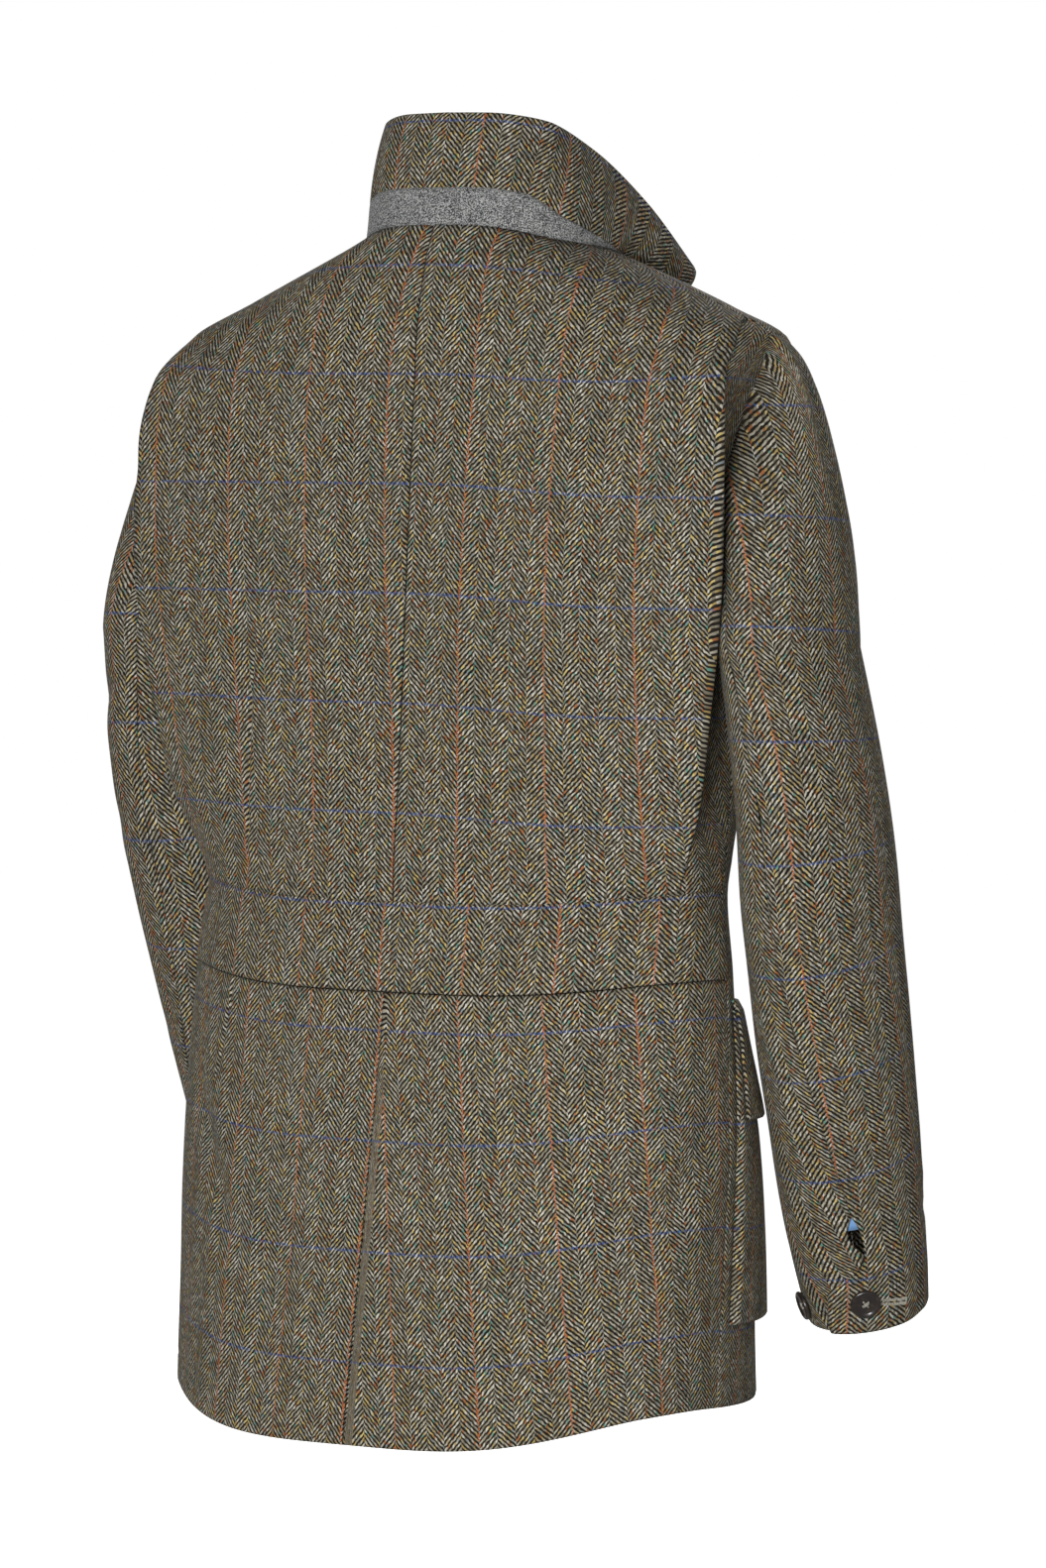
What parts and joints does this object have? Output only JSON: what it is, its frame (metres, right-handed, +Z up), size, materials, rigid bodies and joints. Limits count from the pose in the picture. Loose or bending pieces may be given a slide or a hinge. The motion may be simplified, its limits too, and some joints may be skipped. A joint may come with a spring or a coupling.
{
  "type": "belted-back tweed jacket",
  "caption": "Hollow worn-shape tweed jacket with turned-up collar, action-pleat back, sewn waistband, vented skirt, bellows pockets and buttoned cuff tabs.",
  "frame": {"origin": "middle of the neck opening at the height of the centre-back neck seam, where the wearer holds the jacket up", "axes": "+Z up, +X to the wearer's left, -Y to the wearer's front"},
  "size_m": [0.5858, 0.3137, 0.8732],
  "materials": {
    "tweed": "brown-olive herringbone wool with a rust and blue line check",
    "melton": "grey felted wool",
    "lining": "pale blue satin",
    "horn": "dark brown polished horn"
  },
  "bodies": {
    "root": {"back_left": "tweed", "back_right": "tweed", "back_waistband": "tweed", "collar_fall": "tweed", "front_left": "tweed", "front_right": "tweed", "lapel_left": "tweed", "lapel_right": "tweed", "pleat_underlay_left": "tweed", "pleat_underlay_right": "tweed", "pocket_flap_left": "tweed", "pocket_flap_right": "tweed", "pocket_left": "tweed", "pocket_right": "tweed", "skirt_left": "tweed", "skirt_right": "tweed", "sleeve_left_under": "tweed", "sleeve_left_upper": "tweed", "sleeve_right_under": "tweed", "sleeve_right_upper": "tweed", "collar_stand": "melton", "sleeve_left_lining": "lining", "sleeve_right_lining": "lining", "cuff_button_left": "horn", "cuff_button_right": "horn", "spare_button_left": "horn", "spare_button_right": "horn", "front_button_1": "horn", "front_button_2": "horn", "front_button_3": "horn"}
  },
  "joints": []
}
